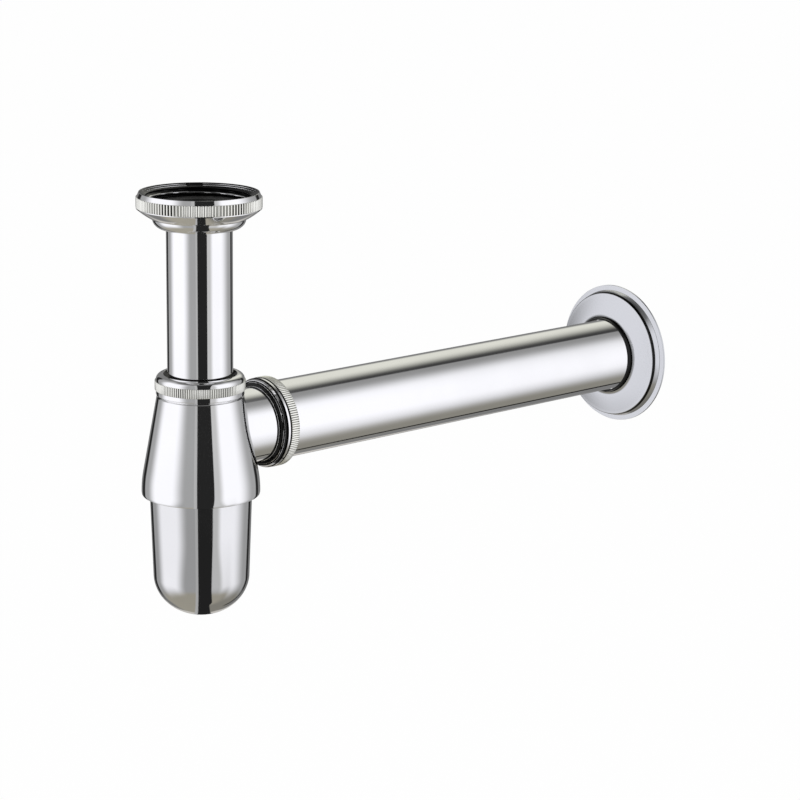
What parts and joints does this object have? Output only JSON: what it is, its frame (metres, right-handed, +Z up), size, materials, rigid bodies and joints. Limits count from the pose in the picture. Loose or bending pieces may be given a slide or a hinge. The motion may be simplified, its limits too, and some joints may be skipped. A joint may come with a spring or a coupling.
{
  "type": "basin bottle trap",
  "caption": "Bottle trap with a flared inlet tube under a union nut, a bell-shaped body with an unscrewing cup, and a horizontal outlet pipe with a sliding wall flange.",
  "frame": {"origin": "on the trap's axis, at the inner end of the inlet thread, where the tail of the basin's waste seats on the washer", "axes": "+Z up along the trap's axis, out of the inlet; +X along the outlet pipe, towards the wall"},
  "size_m": [0.2748, 0.0628, 0.1717],
  "materials": {
    "chrome": "polished chrome plate on brass",
    "rubber": "moulded black rubber",
    "nylon": "natural nylon"
  },
  "bodies": {
    "inlet_nut": {"inlet_nut": "chrome"},
    "inlet_washer": {"inlet_washer": "rubber"},
    "inlet_tube": {"inlet_tube": "chrome"},
    "gland_seal": {"gland_seal": "rubber"},
    "trap_body": {"trap_body": "chrome", "outlet_spigot": "chrome", "outlet_washer": "rubber"},
    "gland_slip_ring": {"gland_slip_ring": "nylon"},
    "gland_nut": {"gland_nut": "chrome"},
    "outlet_slip_ring": {"outlet_slip_ring": "nylon"},
    "outlet_nut": {"outlet_nut": "chrome"},
    "outlet_pipe": {"outlet_pipe": "chrome", "outlet_collar": "chrome"},
    "wall_flange": {"wall_flange": "chrome"},
    "cup_gasket": {"cup_gasket": "rubber"},
    "cup": {"cup": "chrome"}
  },
  "joints": [
    {"name": "tube_lift", "type": "slide", "parent": "inlet_nut", "child": "inlet_washer", "axis": [0, 0, 1], "range_m": [0, 0.035]},
    {"name": "tube_swivel", "type": "hinge", "parent": "inlet_washer", "child": "inlet_tube", "pos_m": [0, 0, 0], "axis": [0, 0, 1], "continuous": true},
    {"name": "height_adjust", "type": "slide", "parent": "inlet_tube", "child": "gland_seal", "axis": [0, 0, -1], "range_m": [-0.008, 0.03]},
    {"name": "body_swivel", "type": "hinge", "parent": "gland_seal", "child": "trap_body", "pos_m": [0, 0, -0.0925], "axis": [0, 0, 1], "continuous": true},
    {"name": "gland_nut_travel", "type": "slide", "parent": "trap_body", "child": "gland_slip_ring", "axis": [0, 0, 1], "range_m": [0, 0.00301]},
    {"name": "gland_nut_turn", "type": "hinge", "parent": "gland_slip_ring", "child": "gland_nut", "pos_m": [0, 0, -0.0714], "axis": [0, 0, 1], "range_deg": [0, 1080]},
    {"name": "outlet_nut_travel", "type": "slide", "parent": "trap_body", "child": "outlet_slip_ring", "axis": [1, 0, 0], "range_m": [0, 0.00301]},
    {"name": "outlet_nut_turn", "type": "hinge", "parent": "outlet_slip_ring", "child": "outlet_nut", "pos_m": [0.0326, 0, -0.0925], "axis": [1, 0, 0], "range_deg": [0, 1080]},
    {"name": "pipe_swivel", "type": "hinge", "parent": "trap_body", "child": "outlet_pipe", "pos_m": [0.0335, 0, -0.0925], "axis": [1, 0, 0], "continuous": true},
    {"name": "flange_slide", "type": "slide", "parent": "outlet_pipe", "child": "wall_flange", "axis": [-1, 0, 0], "range_m": [0, 0.185]},
    {"name": "cup_travel", "type": "slide", "parent": "trap_body", "child": "cup_gasket", "axis": [0, 0, -1], "range_m": [0, 0.00451]},
    {"name": "cup_turn", "type": "hinge", "parent": "cup_gasket", "child": "cup", "pos_m": [0, 0, -0.115], "axis": [0, 0, -1], "range_deg": [0, 1080]}
  ],
  "couplings": [
    {"joint": "gland_nut_travel", "follows": "gland_nut_turn", "m_per_rad": 0.00015915},
    {"joint": "outlet_nut_travel", "follows": "outlet_nut_turn", "m_per_rad": 0.00015915},
    {"joint": "cup_travel", "follows": "cup_turn", "m_per_rad": 0.00023873}
  ]
}
